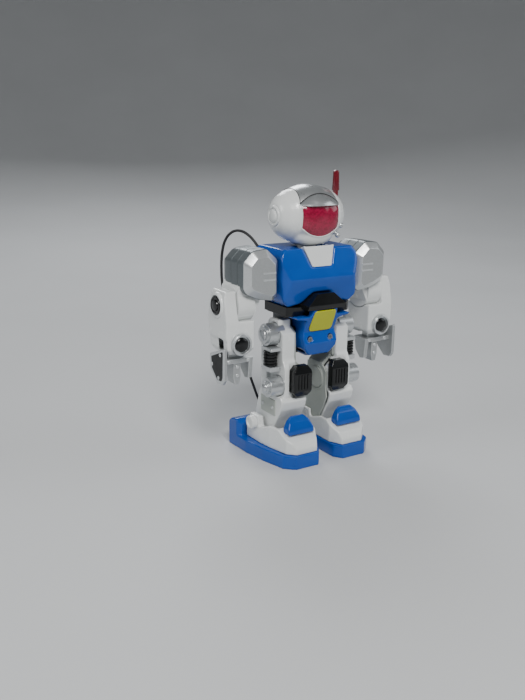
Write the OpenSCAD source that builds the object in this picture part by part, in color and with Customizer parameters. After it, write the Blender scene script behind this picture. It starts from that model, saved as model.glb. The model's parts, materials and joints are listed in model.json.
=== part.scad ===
// Walking toy robot on a wired handset: plastic shells, geared leg drive and posable arms.
// Front is -Y, up is +Z. The origin is on the floor, midway between the two feet.
// Every limb is drawn on the +X side (the robot's left) and mirrored for the right.

/* [Body] */
// Height of the top of the helmet
head_top_z = 244; // [240:1:248]
// Half of the chest's width
chest_half_w = 40; // [38:1:40]
// Height where the chest's two front planes meet
chest_crease_z = 166; // [160:1:170]
// Wall of the moulded shells
wall = 2; // [1.6:0.2:2.4]

/* [Joints] */
// Height of the shoulder axis
shoulder_z = 172; // [170:1:174]
// Height of the elbow axis
elbow_z = 145; // [144:1:146]
// Height of the wrist axis
wrist_z = 112.5; // [112:0.5:113]
// Height of the hip axis
hip_z = 115; // [114:0.5:116]
// Height of the ankle axis
ankle_z = 30; // [29:1:31]
// Radial clearance between a pin and its bore
running_gap = 0.05; // [0.02:0.01:0.1]

/* [Drive] */
// Teeth of the motor's pinion
pinion_teeth = 10; // [10:2:12]
// Teeth of the crank gear
gear_teeth = 36; // [34:2:36]
// Gear module
gear_module = 0.55; // [0.54:0.01:0.56]

/* [Cord] */
// Diameter of the handset's cord
cord_d = 2.6; // [2.2:0.1:3]
// Mean diameter of the stored coil
coil_d = 30; // [28:1:32]

/* [Hidden] */
$fn = 48;
part_gap = 0.3;                      // between pieces that move past each other
shoulder_y = -5;                     // shoulder axis, and the chest's parting plane
elbow_y = -3;
elbow_r = 16.5;                      // round end of the upper arm
hip_y = -10;
ankle_y = 2;
sole_top = 12.5;
wrist_x = 76.5;
crank_y = 4;
crank_z = hip_z - 9;
crank_throw = 2.3;
gear_gap = gear_module * (pinion_teeth + gear_teeth) / 2;
motor_y = crank_y + 6;
motor_z = crank_z + sqrt(gear_gap * gear_gap - 36);
neck_y = -4;
helmet_wall = 3;
ear_y = -3;
ear_z = 218;
neck_gap_z = 191.2;                   // top of the chest, just under the helmet
screw_z = 111;
relief_x = -28;
knee_y = -19;
knee_z = 69;

// The handset lies on the floor behind the robot
handset_x = 75;
handset_y = 119;
handset_turn = -32;                  // about Z, from the +Y direction
handset_h = 24;
lever_y = 11;
lever_z = 20.6;
battery_r = 7.1;

// The coil lies on the floor between the robot and the handset
coil_x = 29;
coil_y = 78;
coil_layers = 3;
coil_band = 3;                       // turns side by side

// The cord's route from the strain relief on the back to the coil
run_route = [
  [-28, 27, 184], [-28.6, 32.5, 187.5], [-30.4, 37.5, 192.5], [-33.4, 42.5, 197], [-37.2, 47.5, 199.6],
  [-41.2, 52, 199.4], [-44.8, 56, 196], [-47.4, 59.2, 190], [-48.8, 61.3, 182], [-49.4, 62.4, 172],
  [-49.2, 63, 161], [-48.2, 63.4, 149], [-46.2, 63.5, 137], [-43.4, 63.4, 125], [-39.8, 63.1, 113],
  [-35.6, 62.9, 101], [-31, 62.8, 89], [-26.2, 62.8, 77], [-21.4, 62.9, 65], [-16.8, 63, 53],
  [-12.2, 63.1, 41],
  [-7.6, 63.2, 29.5], [-2.4, 63.3, 19], [3.4, 63.4, 10.6], [9.6, 63.4, 5], [15.6, 63.2, 2.2],
  [20.4, 63, 1.4],
  [25, 63, 1.4]
];
// The cord's route from the coil to the handset's gland
tail_route = [
  [43.6, 72, 1.4], [45.4, 74.6, 1.7], [47.4, 77, 2.6], [49.6, 79.4, 4.2], [51.7, 81.9, 5.6],
  [53.8, 85.1, 6], [55.9, 88.5, 6]
];

// ---- helpers ----

// The points and their mirror image across x = 0, as one closed outline
function both(pts) = concat(pts, [for (i = [len(pts) - 1 : -1 : 0]) [-pts[i].x, pts[i].y]]);

// An outline in x and z, extruded from y0 to y1
module from_front(pts, y0, y1) {
  translate([0, y1, 0]) rotate([90, 0, 0]) linear_extrude(y1 - y0) polygon(pts);
}

// An outline in y and z, extruded from x0 to x1
module from_side(pts, x0, x1) {
  translate([x0, 0, 0]) rotate([90, 0, 90]) linear_extrude(x1 - x0) polygon(pts);
}

// An outline in x and y, extruded from z0 to z1
module from_top(pts, z0, z1) {
  translate([0, 0, z0]) linear_extrude(z1 - z0) polygon(pts);
}

// A box between two corners
module box(a, b) {
  translate(a) cube(b - a);
}

// A cylinder along X, from x0 to x1, centred on y and z
module rod_x(x0, x1, y, z, r) {
  translate([x0, y, z]) rotate([0, 90, 0]) cylinder(r = r, h = x1 - x0);
}

// A cylinder along Y, from y0 to y1, centred on x and z
module rod_y(y0, y1, x, z, r) {
  translate([x, y1, z]) rotate([90, 0, 0]) cylinder(r = r, h = y1 - y0);
}

// A limb's +X piece, turned into the robot's right one
module on_right() {
  mirror([1, 0, 0]) children();
}

// ---- head ----

// The helmet's smooth outer form, or the same form drawn in by inset
module head_form(inset) {
  hull() {
    for (x = [-9, 9]) {
      translate([x, -8, head_top_z - 17]) sphere(r = 16.5 - inset, $fn = 32);
      translate([x, 4, head_top_z - 17]) sphere(r = 17 - inset, $fn = 32);
      translate([x, -12, 202]) sphere(r = 10.5 - inset, $fn = 24);
      translate([x, 6, 202]) sphere(r = 10.5 - inset, $fn = 24);
    }
    box([-21.5 + inset, -27 + 2 * inset, 205 + inset], [21.5 - inset, -20, 229 - inset]);
  }
}

module crest_zone() {
  intersection() {
    from_front(both([[0, 229.5], [20, 229.5], [17, 236], [13, 250], [0, 250]]), -40, 40);
    from_side([
      [-40, 229.5], [-18, 229.5], [-12, 233], [14, 234], [30, 222], [40, 222], [40, 250], [-40, 250]
    ], -30, 30);
  }
}

module visor_outline(grow) {
  rotate([90, 0, 0]) linear_extrude(20)
    polygon(both([
      [0, 200.5 - grow], [11, 202 - grow], [19 + grow, 207], [19.5 + grow, 228 + grow], [0, 228 + grow]
    ]));
}

module ear_cones() {
  for (s = [-1, 1]) {
    translate([s * 19, ear_y, ear_z]) rotate([0, s * 90, 0]) cylinder(r1 = 18, r2 = 9.5, h = 17);
  }
}

module helmet_shell() {
  color("white") difference() {
    union() {
      head_form(0);
      ear_cones();
    }
    crest_zone();
    translate([0, -22, 0]) visor_outline(0.1);
    head_form(helmet_wall);
    translate([0, neck_y, 185]) cylinder(r = 9 + running_gap, h = 15);
    for (s = [-1, 1]) {
      translate([s * 33.5, ear_y, ear_z]) rotate([0, s * 90, 0]) cylinder(r = 7.6, h = 5);
    }
    antenna_socket();
    for (p = stud_places) translate(p) sphere(r = 2.4);
  }
}

// Socket for the antenna's foot, on top of the left ear
module antenna_socket() {
  translate([30, ear_y - 2, ear_z + 8]) cylinder(r = 2.5, h = 22);
}

module crest() {
  color("silver") intersection() {
    head_form(0);
    crest_zone();
  }
}

module visor() {
  color("firebrick") intersection() {
    translate([0, -22.1, 0]) visor_outline(0);
    from_side([[-27.8, 228], [-25.5, 200], [-22.1, 200], [-22.1, 228.5], [-27.8, 228.5]], -25, 25);
  }
}

module ear_discs() {
  color("white") for (s = [-1, 1]) {
    translate([s * 33.6, ear_y, ear_z]) rotate([0, s * 90, 0]) union() {
      cylinder(r = 7.5, h = 2);
      translate([0, 0, 2]) cylinder(r1 = 6.8, r2 = 4.5, h = 1.6);
    }
  }
}

stud_places = [[25.6, -20, 209], [22.6, -20, 200.5]];

module cheek_studs() {
  color("silver") for (p = stud_places) {
    translate(p) sphere(r = 2.4);
  }
}

module antenna() {
  color("darkred") translate([30, ear_y - 2, 0]) {
    translate([0, 0, ear_z + 8.1]) cylinder(r = 2.4, h = 12);
    translate([0, 0, ear_z + 20.1]) cylinder(r1 = 3.4, r2 = 2.6, h = 17.9);
  }
}

// Red lamp behind the visor
module head_lamp() {
  color("red") {
    rod_y(-19, -15, 0, 214, 2.5);
    rod_y(-15, 15.5, 0, 214, 1.5);
    translate([0, -19, 214]) sphere(r = 2.4);
  }
}

module neck_post() {
  color("white") translate([0, neck_y, 0]) {
    translate([0, 0, 172]) cylinder(r = 9, h = 27.5);
    translate([0, 0, 170]) cylinder(r = 11, h = 2);
  }
}

// ---- torso ----

chest_front_outline = both([
  [0, 153], [9, 153], [20, 143.5], [33, 141.5], [chest_half_w - 1, 147],
  [chest_half_w + 0.5, chest_crease_z],
  [chest_half_w, 186], [chest_half_w - 4, neck_gap_z], [16.5, neck_gap_z], [10.5, 175.5], [0, 175.5]
]);
chest_back_outline = both([
  [0, 141.5], [33, 141.5], [chest_half_w - 1, 147], [chest_half_w + 0.5, chest_crease_z],
  [chest_half_w, 186], [chest_half_w - 4, neck_gap_z], [0, neck_gap_z]
]);
chest_side_outline = [
  [-27, 141], [-33.5, chest_crease_z], [-24, 192.5], [16, 192.5], [24, 184], [26, 160], [22, 141]
];
chest_top_outline = both([[0, -34], [33, -34], [41, -27], [41, 20], [34, 27], [0, 27]]);

module chest_form(outline) {
  intersection() {
    from_front(outline, -40, 40);
    from_side(chest_side_outline, -50, 50);
    from_top(chest_top_outline, 130, 200);
  }
}

// Round openings for the shoulder bosses and the neck
module chest_bores() {
  rod_x(-60, 60, shoulder_y, shoulder_z, 7.5 + running_gap);
  translate([0, neck_y, 168]) cylinder(r = 11, h = 4.1);
  translate([0, neck_y, 172]) cylinder(r = 9, h = 30);
}

module chest_front() {
  color("royalblue") difference() {
    chest_form(chest_front_outline);
    box([-60, shoulder_y, 100], [60, 60, 200]);
    box([-chest_half_w + wall, -22, 155], [chest_half_w - wall, 0, 170]);
    box([-chest_half_w + wall, -20, 146], [-22, 0, 189]);
    box([22, -20, 146], [chest_half_w - wall, 0, 189]);
    chest_bores();
  }
}

module chest_back() {
  color("royalblue") difference() {
    chest_form(chest_back_outline);
    box([-60, -60, 100], [60, shoulder_y, 200]);
    box([-chest_half_w + wall, -10, 144], [chest_half_w - wall, 19, 189]);
    chest_bores();
    for (x = [-32, 32]) for (z = [152, 176]) rod_y(15, 40, x, z, 2.6);
    rod_y(10, 40, relief_x, 184, 3);
  }
}

module neck_bib() {
  color("white") intersection() {
    from_front(both([[0, 175.6], [10.4, 175.6], [15.8, 190.8], [0, 190.8]]), -30, -13.2);
    from_side([[-28.5, 175], [-25, 191], [-13.2, 191], [-13.2, 175]], -20, 20);
  }
}

module waist_belt() {
  color("black") union() {
    intersection() {
      from_top(both([[0, -30], [28, -30], [34, -25], [34, 10], [28, 16], [0, 16]]), 133, 141.3);
      from_side([[-28, 133], [-30, 141.3], [20, 141.3], [18, 133]], -40, 40);
    }
    intersection() {
      from_front(both([[0, 139], [20, 139], [19.5, 143.3], [8.8, 152.8], [0, 152.8]]), -40, shoulder_y - 1);
      from_side([[-38.5, 139], [-40, 143], [-37, 152.8], [-6, 152.8], [-6, 139]], -30, 30);
    }
  }
}

pelvis_outline = both([
  [0, 93.5], [9, 93.5], [17, 103], [18, 112], [16.5, 119], [16.5, 128.3], [22, 129.8], [27, 130.5],
  [29, 132.9],
  [14, 132.9], [12.6, 138.8], [0, 138.8]
]);
pelvis_side = [
  [-38, 138.8], [-28.4, 117.5], [-32, 107], [-29, 96], [-20, 93.5], [-8.2, 93.5], [-8.2, 132.9],
  [-30.3, 132.9],
  [-30.3, 138.8]
];

module pelvis_cover() {
  color("royalblue") difference() {
    intersection() {
      from_front(pelvis_outline, -45, 0);
      from_side(pelvis_side, -40, 40);
    }
    box([-14, -25, 97], [14, 0, 126]);
    panel_slab(0);
    for (x = [-11, 11]) rod_y(-45, -27, x, screw_z, 2.6);
    for (x = [-16.2, 16.2]) box([x - 2.3, -14.1, 110.9], [x + 2.3, 0, 119.1]);
  }
}

// The sloping yellow panel's space on the belly
module panel_slab(inset) {
  intersection() {
    from_front(both([
      [0, 117.4 + inset], [9, 117.6 + inset], [12.3 - inset, 120.5], [12.2 - inset, 124],
      [9.8 - inset, 136.5],
      [8.4 - inset, 138.8], [0, 138.8]
    ]), -45, 0);
    from_side([[-40, 142.5], [-27.5, 115], [-25.8, 115], [-35.4, 138.8]], -20, 20);
  }
}

module belly_panel() {
  color("gold") difference() {
    panel_slab(0.1);
    from_side([[-50, 110], [-39.2, 139], [-39, 145], [-60, 145]], -20, 20);
    from_side([[-45, 138.9], [-45, 110], [-27.4, 110], [-27.4, 116.5], [-37.6, 138.9]], -20, 20);
  }
}

module hip_bosses(r) {
  for (s = [-1, 1]) {
    rod_x(s > 0 ? 18.4 : -27, s > 0 ? 27 : -18.4, hip_y, hip_z, r);
  }
}

module gearbox_case() {
  color("dimgray") difference() {
    union() {
      from_side([[-8, 93.5], [14, 93.5], [20, 99], [20, 132.9], [-8, 132.9]], -18.4, 18.4);
      from_side([[-8, 129.8], [16, 129.8], [16, 132.9], [-8, 132.9]], -27, 27);
      from_side([[-14, 111], [-8, 111], [-8, 119], [-14, 119]], -18.4, -14.2);
      from_side([[-14, 111], [-8, 111], [-8, 119], [-14, 119]], 14.2, 18.4);
      hip_bosses(4);
    }
    from_side([[-7, 94.9], [13, 94.9], [18, 100], [18, 131], [-7, 131]], -16.6, 16.6);
    rod_x(-30, 30, crank_y, crank_z, 1.5 + running_gap);
  }
}

// A 130-size motor with its shaft along X
module motor() {
  color("silver") {
    rod_x(-14, 11.5, motor_y, motor_z, 8);
    rod_x(11.5, 12.6, motor_y, motor_z, 3);
    rod_x(-16, -14, motor_y, motor_z, 3);
  }
}

// Spur gear along X with trapezoid teeth
module gear_x(x0, x1, y, z, teeth, bore_r, phase) {
  pitch_r = gear_module * teeth / 2;
  root_r = pitch_r - 1.2 * gear_module;
  tip_r = pitch_r + 0.85 * gear_module;
  step = 360 / teeth;
  // each tooth is four points: root, tip, tip, root
  points = [
    for (i = [0 : teeth - 1], c = [[-0.30, root_r], [-0.10, tip_r], [0.10, tip_r], [0.30, root_r]])
      c[1] * [cos((i + c[0]) * step + phase), sin((i + c[0]) * step + phase)]
  ];
  translate([x0, y, z]) rotate([90, 0, 90]) linear_extrude(x1 - x0) difference() {
    polygon(points);
    if (bore_r > 0) circle(r = bore_r);
  }
}

// Direction from the crank to the motor, where the two gears mesh
mesh_angle = atan2(motor_z - crank_z, motor_y - crank_y);

module pinion() {
  color("gold") union() {
    gear_x(13, 16, motor_y, motor_z, pinion_teeth, 0, mesh_angle + 180 + 180 / pinion_teeth);
  }
}

module crank_gear() {
  color("ivory") union() {
    gear_x(13, 16, crank_y, crank_z, gear_teeth, 0, mesh_angle);
    rod_x(-18.8, 18.8, crank_y, crank_z, 1.5);
    for (s = [-1, 1]) {
      rod_x(s > 0 ? 18.7 : -19.6, s > 0 ? 19.6 : -18.7, crank_y, crank_z, 4.5);
      rod_x(s > 0 ? 19.5 : -24, s > 0 ? 24 : -19.5, crank_y, crank_z + s * crank_throw, 1.3);
    }
  }
}

// A pan-head screw along Y, its head at y0, pointing to +Y when s is 1
module screw_y(x, y0, z, s) {
  difference() {
    union() {
      rod_y(min(y0, y0 + s * 1.5), max(y0, y0 + s * 1.5), x, z, 2.4);
      rod_y(min(y0 + s * 1.5, y0 + s * 3.5), max(y0 + s * 1.5, y0 + s * 3.5), x, z, 1.1);
    }
    // cross slot
    for (half = [[1.5, 0.25], [0.25, 1.5]]) {
      translate([x, y0 + s * 0.3, z]) cube([2 * half[0], 0.62, 2 * half[1]], center = true);
    }
  }
}

module body_screws() {
  color("darkgray") {
    for (x = [-11, 11]) screw_y(x, -30.5, screw_z, 1);
    for (x = [-32, 32]) for (z = [152, 176]) screw_y(x, 21.5, z, -1);
  }
}

// ---- arms, drawn on the +X side ----

module shoulder_pad() {
  color("darkgray") difference() {
    union() {
      intersection() {
        from_front([[41.5, 152], [46, 147.6], [61, 150.4], [72.6, 155.4], [76, 160], [76, 183],
                    [67, 192.2], [53, 193.6],
                    [41.5, 183.5]], -40, 40);
        from_side([[-25, 147], [-27.5, 151], [-27.5, 184], [-21, 194], [10, 194], [17, 185], [17, 152],
                   [12, 147]],
                  30, 90);
        from_top([[41, -25], [44, -28], [72.5, -28], [76, -24.5], [76, 11], [69, 18], [45, 18],
                  [41, 14]], 140, 200);
      }
      rod_x(36.5, 42, shoulder_y, shoulder_z, 7.5);
    }
    box([53.9, -17.1, 140], [76, 11.1, 164.1]);
    rod_x(61.9, 80, elbow_y, elbow_z, elbow_r + 0.1);
    // hollow of the shell, open underneath beside the arm
    box([44, -22, 166], [66, 12, 189]);
    box([44, -22, 140], [51.8, 12, 166.1]);
  }
}

module upper_arm() {
  color("white") difference() {
    union() {
      box([54, -17, 150], [62, 11, 164]);
      intersection() {
        from_front([[56, 148], [62, 136], [78, 136], [78, 158], [75, 164], [56, 164]], -40, 40);
        box([54, -17, 130], [78, 11, 164]);
      }
      rod_x(62, 78, elbow_y, elbow_z, elbow_r);
    }
    rod_x(63.5, 90, elbow_y, elbow_z, 3 + running_gap);
  }
}

module elbow_cap() {
  color("black") {
    rod_x(64, 90.5, elbow_y, elbow_z, 3);
    rod_x(90.5, 92.1, elbow_y, elbow_z, 8);
    translate([92.1, elbow_y, elbow_z]) rotate([0, 90, 0]) cylinder(r1 = 7, r2 = 5.4, h = 1);
  }
}

module forearm() {
  color("white") difference() {
    union() {
      intersection() {
        from_front([[62.5, 107], [66, 103], [86, 103], [89.4, 108], [89.4, 115], [90.5, 118],
                    [90.5, 150], [86, 170],
                    [62.5, 170]], -30, 30);
        from_side([[-17, 103], [-20.5, 108], [-20.5, 132], [-15, 158], [8, 158], [12.5, 132], [11, 108],
                   [8, 103]],
                  60, 100);
        union() {
          box([60, -30, 100], [100, 30, 132]);
          box([78.4, -30, 100], [100, 30, 170]);
        }
      }
    }
    rod_x(60, 78.5, elbow_y, elbow_z, elbow_r + part_gap);
    rod_x(76, 92, elbow_y, elbow_z, 3);
    // slot for the hand's root, and the hollow behind it
    from_front([[65, 90], [65, 114], [68, 122], [85, 122], [92, 113], [92, 90]], -12.4, -3.6);
    box([65, -3.7, 105.5], [87.5, 8.5, 125]);
    rod_y(-30, 20, wrist_x, wrist_z, 3.4);
    rod_y(-30, -19.4, wrist_x, wrist_z, 9.6);
  }
}

module wrist_ring() {
  color("silver") difference() {
    rod_y(-24, -19.4, wrist_x, wrist_z, 9.5);
    rod_y(-25, -21.5, wrist_x, wrist_z, 7.4);
    rod_y(-25, -19, wrist_x, wrist_z, 3.4);
  }
}

// Black cap with the wrist's pin behind it
module wrist_cap() {
  color("black") {
    rod_y(-24.2, -21.5, wrist_x, wrist_z, 6.4);
    rod_y(-21.5, 4, wrist_x, wrist_z, 3.4);
  }
}

module hand() {
  color("gray") difference() {
    union() {
      rod_y(-12, -4, wrist_x, wrist_z, 8.5);
      // palm
      from_front([[69, 111], [84, 111], [84, 98], [69, 98]], -12, -4);
      from_front([[62.5, 95], [62.5, 98], [64, 99], [91.4, 99], [91.4, 95]], -17, 1);
      // outer plate, inner blade and middle finger
      from_side([[-23, 110], [-21.5, 110.8], [2, 102], [2.6, 100.6], [1, 88], [-11, 78], [-20, 78.6],
                 [-23, 83]],
                91.3, 94.3);
      from_side([[-18, 99], [0, 99], [-3, 86], [-10, 79], [-16, 80]], 62.5, 66.5);
      from_front([[73, 96], [80, 96], [80, 82], [78.5, 75], [74.5, 75], [73, 82]], -14.5, -1.5);
    }
    rod_y(-30, 20, wrist_x, wrist_z, 3.4 + running_gap);
  }
}

// ---- legs, drawn on the +X side ----

module leg_shell() {
  color("white") difference() {
    union() {
      // hip block and thigh
      from_side([[-16, 121], [-24, 117], [-24, 91], [4, 91], [4, 121], [-2, 128], [-16, 128]], 22.5, 36);
      // knee
      intersection() {
        from_front([[13, 56], [13, 79.8], [20.6, 87.8], [22.6, 87.8], [22.6, 94], [36, 94],
                    [36, 56]], -40, 20);
        from_side([[-24, 94], [-29, 86], [-29, 60], [-26, 56], [6, 56], [4, 94]], 10, 40);
      }
      // shin
      from_side([
        [-28, 60], [-31, 56], [-29, 48], [-22, 36], [-14, 19], [-9, 18], [8, 18], [13, 22], [14, 36],
        [7, 60]
      ], 13, 40);
      // spine behind the side trim
      box([36, -6, 56], [41, 4, 120]);
    }
    rod_x(22, 27.5, hip_y, hip_z, 4 + running_gap);
    rod_x(22, 25.5, crank_y, crank_z, 7);
    rod_x(30, 60, hip_y, hip_z, 10.1);
    rod_x(31, 60, knee_y, knee_z, 9.1);
    rod_x(10, 50, ankle_y, ankle_z, 2.5 + running_gap);
    box([10, -40, 58.9], [31, -26, 90.1]);
    // hollow behind the inner cover
    box([12, -20, 62], [29, 2, 86]);
    box([23, -20, 86], [33.5, -2, 98]);
    difference() {
      from_side([
        [-25, 58], [-27.5, 54.5], [-26, 49], [-19.5, 37.5], [-12, 21.5], [7, 21.5], [10.5, 25],
        [11.3, 36], [5, 58]
      ], 12, 37.5);
      rod_x(12, 38, ankle_y, ankle_z, 5);
    }
  }
}

module inner_cover() {
  color("lightgray") difference() {
    union() {
      from_side([[-14, 121], [-21, 116], [-22, 90.5], [2, 90.5], [2, 121], [-4, 125]], 20, 22.4);
      from_side([[-20, 81], [-25.5, 76], [-25, 62], [-27, 52], [-21, 38], [-12, 20], [6, 20], [11, 26],
                 [6, 60], [4, 81]],
                11.2, 12.9);
      from_front([[11.2, 80], [12.9, 80], [20.5, 88], [22.4, 88], [22.4, 92], [20, 92], [19.4, 90],
                  [11.2, 83]], -19, 2);
      rod_x(10.2, 11.3, -11, 68, 10);
    }
    rod_x(18, 23, hip_y, hip_z, 4 + running_gap);
    rod_x(18, 23, crank_y, crank_z, 7);
    rod_x(10, 20, ankle_y, ankle_z, 2.5 + running_gap);
  }
}

module side_trim() {
  color("silver") difference() {
    union() {
      rod_x(30, 46, hip_y, hip_z, 10);
      rod_x(46, 48, hip_y, hip_z, 8);
      box([36.1, -22, 101.5], [47, -6.1, 104.8]);
      box([36.1, -22, 83], [47, -6.1, 87.5]);
      rod_x(31, 49, knee_y, knee_z, 9);
      rod_x(49, 51, knee_y, knee_z, 6);
    }
    rod_x(29, 30.5, hip_y, hip_z, 5);
  }
}

// Black ribbed cylinder between the two silver bands
module piston() {
  color("black") translate([42.6, -14.5, 87.5]) union() {
    cylinder(r = 5.6, h = 14);
    for (i = [0 : 3]) translate([0, 0, 0.8 + i * 3.5]) cylinder(r = 6.4, h = 2);
  }
}

module knee_pad() {
  color("black") intersection() {
    from_front([[14, 60], [26, 60], [30, 64.5], [30, 84], [26, 88.5], [14, 88.5], [11, 84],
                [11, 64.5]], -40, 0);
    from_side([[-33, 60], [-36, 66], [-36, 82], [-33, 88.5], [-26, 88.5], [-26, 60]], 5, 35);
    from_top([[12, -40], [28, -40], [30, -34], [30, -26], [13, -26], [13, -29], [11, -29],
              [11, -34]], 50, 100);
  }
}

module ankle_pin() {
  color("white") {
    rod_x(8, 49, ankle_y, ankle_z, 2.5);
    rod_x(49, 54, ankle_y, ankle_z, 6.4);
  }
}

// Blue dome on the instep, in front of the shin
module ankle_cover() {
  color("royalblue") intersection() {
    from_front([[13, 20], [13, 34], [16, 40.5], [20, 44], [33, 44], [37, 40.5], [40, 34],
                [40, 20]], -60, 0);
    from_side([[-44, 29], [-43, 34], [-40, 39.5], [-36.5, 43.5], [-33.5, 44], [-33.5, 29]], 5, 45);
  }
}

foot_plan = [
  [10, -42], [14, -50.5], [36, -50.5], [43, -44], [47.5, -22], [49, -8], [49, 15], [8, 15], [8, -38]
];

module foot_shell() {
  color("white") difference() {
    intersection() {
      union() {
        from_side([[-51, sole_top], [-51, 17], [-47, 23.5], [-33, 33], [-22, 33], [-10, 28.5],
                   [15, 28.5], [15, sole_top]],
                  0, 60);
        from_side([[-7, 27], [-5, 37], [9, 37], [12, 27]], 43, 49);
        from_side([[-7, 27], [-5, 35], [9, 35], [12, 27]], 8, 10.4);
      }
      from_top(foot_plan, 0, 60);
    }
    box([10.4, -30.5, 13], [42.9, 20, 60]);
    box([13, -42, 10], [42, 13, 21]);
    rod_x(5, 60, ankle_y, ankle_z, 2.5);
    intersection() {
      box([12.9, -44.1, 28.9], [40.1, -33.4, 50]);
      from_side([[-44.1, 28.9], [-43.1, 34], [-33.4, 44.1], [-33.4, 28.9]], 5, 45);
    }
  }
}

sole_plan = [
  [8, -45], [13.5, -53], [38, -53], [47, -45], [53, -20], [56.5, 4], [57, 34], [51, 42], [13, 42],
  [7.5, 34],
  [7.5, -40]
];

module sole() {
  color("royalblue") difference() {
    union() {
      from_top(sole_plan, 0, sole_top - 0.1);
      intersection() {
        from_side([[15.1, 11], [15.1, 25], [22, 28], [30, 26.5], [41, 18], [42, 11]], 0, 60);
        from_top([[14, 15], [54, 15], [57, 20], [57, 34], [51, 42], [19, 42], [14, 36]], 0, 40);
      }
    }
    box([13, -42, 2], [43, 13, sole_top]);
    box([18, 18, 2], [52, 34, 20]);
  }
}

// ---- handset, battery box and cord ----

handset_plan = both([[0, -38], [12, -38], [17, -33], [17, -2], [22, 3], [30, 8], [31, 32], [26, 38],
                     [0, 38]]);
handset_cavity = both([[0, -35], [10, -35], [14.5, -30], [14.5, 5], [27.5, 11], [28, 30], [24, 35],
                       [0, 35]]);

// Moves a piece from the handset's own centre to where the handset lies
module at_handset() {
  translate([handset_x, handset_y, 0]) rotate([0, 0, handset_turn]) children();
}

module handset_form(z0, z1) {
  intersection() {
    from_top(handset_plan, z0, z1);
    from_side([[-39, 0], [-39, 16], [-34, 20], [0, handset_h], [36, handset_h], [39, 20], [39, 3],
               [36, 0]], -40, 40);
  }
}

module handset_top() {
  color("slategray") at_handset() difference() {
    handset_form(12.1, handset_h);
    from_top(handset_cavity, 12, 17.5);
    box([-13, -30, 17.4], [13, -2, 19.6]);
    box([-24, 23, 17.4], [24, 33, 20.4]);
    for (s = [-1, 1]) box([s > 0 ? 12 : -24, 9, 17.4], [s > 0 ? 24 : -12, 24, 21.4]);
    box([-7, lever_y - 9, 17], [7, lever_y + 9, 40]);
    rod_x(-9.1, 9.1, lever_y, lever_z, 1.5 + running_gap);
  }
}

module handset_base() {
  color("darkslategray") at_handset() difference() {
    handset_form(0, 12);
    from_top(handset_cavity, 2, 13);
    box([-12.1, -30.1, -1], [12.1, 26.1, 3]);
    rod_y(-50, -30, 0, 6, 1.5);
  }
}

// The blue drive lever on its cross pin
module handset_lever() {
  color("royalblue") at_handset() union() {
    rod_x(-6, 6, lever_y, lever_z, 2.8);
    rod_x(-9, 9, lever_y, lever_z, 1.5);
    from_side([
      [lever_y - 2.4, lever_z], [lever_y + 2.4, lever_z], [lever_y + 2.8, 27], [lever_y + 4, 31],
      [lever_y - 4, 31], [lever_y - 2.8, 27]
    ], -6, 6);
  }
}

module battery_door() {
  color("darkslategray") at_handset() box([-12, -30, 0], [12, 26, 1.9]);
}

// Two AA cells side by side
module batteries() {
  color("darkgreen") at_handset() for (s = [-1, 1]) {
    rod_y(-25, 24, s * 7.3, 2.2 + battery_r, battery_r);
    rod_y(24, 25.4, s * 7.3, 2.2 + battery_r, 2.7);
  }
}

// Strain relief on the upper back
module cord_relief() {
  color("black") {
    rod_y(19, 27, relief_x, 184, 3);
  }
}

// ---- cord: a tube swept along a route ----

function mid(p, k) =                 // Catmull-Rom value halfway between points k and k + 1
  let (n = len(p) - 1, a = p[max(k - 1, 0)], b = p[k], c = p[k + 1], d = p[min(k + 2, n)])
  (9 * (b + c) - a - d) / 16;
function smooth_route(p) = [
  for (k = [0 : len(p) - 2], h = [0, 1]) h == 0 ? p[k] : mid(p, k)
];
function unit(v) = v / norm(v);
function way(p, i) = unit(p[min(i + 1, len(p) - 1)] - p[max(i - 1, 0)]);

// Eight points round the route at point i, square to its way there
function ring(p, i, r) =
  let (w = way(p, i), side = unit(cross(w, [0.35, 0.9, 0.2])), up = cross(w, side))
  [for (a = [0 : 45 : 315]) p[i] + r * (cos(a) * side + sin(a) * up)];

module tube(p, r) {
  n = len(p);
  points = [for (i = [0 : n - 1]) each ring(p, i, r)];
  walls = [
    for (i = [0 : n - 2], j = [0 : 7])
      [i * 8 + j, i * 8 + (j + 1) % 8, (i + 1) * 8 + (j + 1) % 8, (i + 1) * 8 + j]
  ];
  ends = [[for (j = [7 : -1 : 0]) j], [for (j = [0 : 7]) (n - 1) * 8 + j]];
  polyhedron(points, concat(ends, walls));
}

module cord_run() {
  color("black") {
    tube(concat(smooth_route(run_route), [run_route[len(run_route) - 1]]), cord_d / 2);
    tube(concat(smooth_route(tail_route), [tail_route[len(tail_route) - 1]]), cord_d / 2);
  }
}

module cord_coil() {
  color("black") difference() {
    translate([coil_x, coil_y, 0]) rotate_extrude()
      translate([coil_d / 2 - coil_band * cord_d / 2, 0]) square([coil_band * cord_d, coil_layers * cord_d]);
    coil_tie_form();
  }
}

module cord_tie() {
  color("dimgray") coil_tie_form();
}

// A short band over the coil's bundle of turns
module coil_tie_form() {
  translate([coil_x, coil_y, 0]) difference() {
    box([-1.5, 10.2, 0], [1.5, 19.8, 8.7]);
    box([-2, 11, -1], [2, 19, 7.9]);
  }
}

// ---- one line per node ----

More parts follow.
